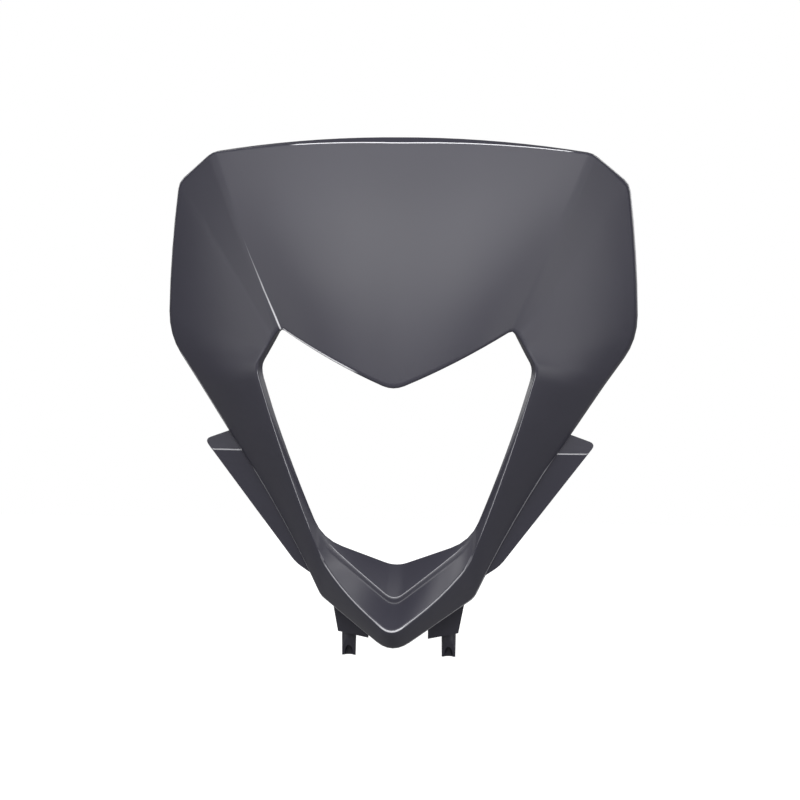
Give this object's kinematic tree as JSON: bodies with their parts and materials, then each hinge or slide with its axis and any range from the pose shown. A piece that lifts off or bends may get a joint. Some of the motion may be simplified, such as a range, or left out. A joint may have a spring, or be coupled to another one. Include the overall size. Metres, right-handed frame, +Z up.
{
  "type": "motorbike headlight cowl",
  "caption": "Moulded headlight cowl: creased front shield, swept-back wings, open lamp window, stepped chin, side ears and hollow locating pegs.",
  "frame": {"origin": "middle of the pair of upper bosses, in the plane of their mouths, on the mirror plane", "axes": "+Z up, +Y to the back of the cowl, along the bosses; the front faces -Y"},
  "size_m": [0.3174, 0.0874, 0.3469],
  "materials": {
    "cowl_plastic": "satin dark grey, fine moulded grain"
  },
  "bodies": {
    "root": {"headlight_cowl": "cowl_plastic"}
  },
  "joints": []
}
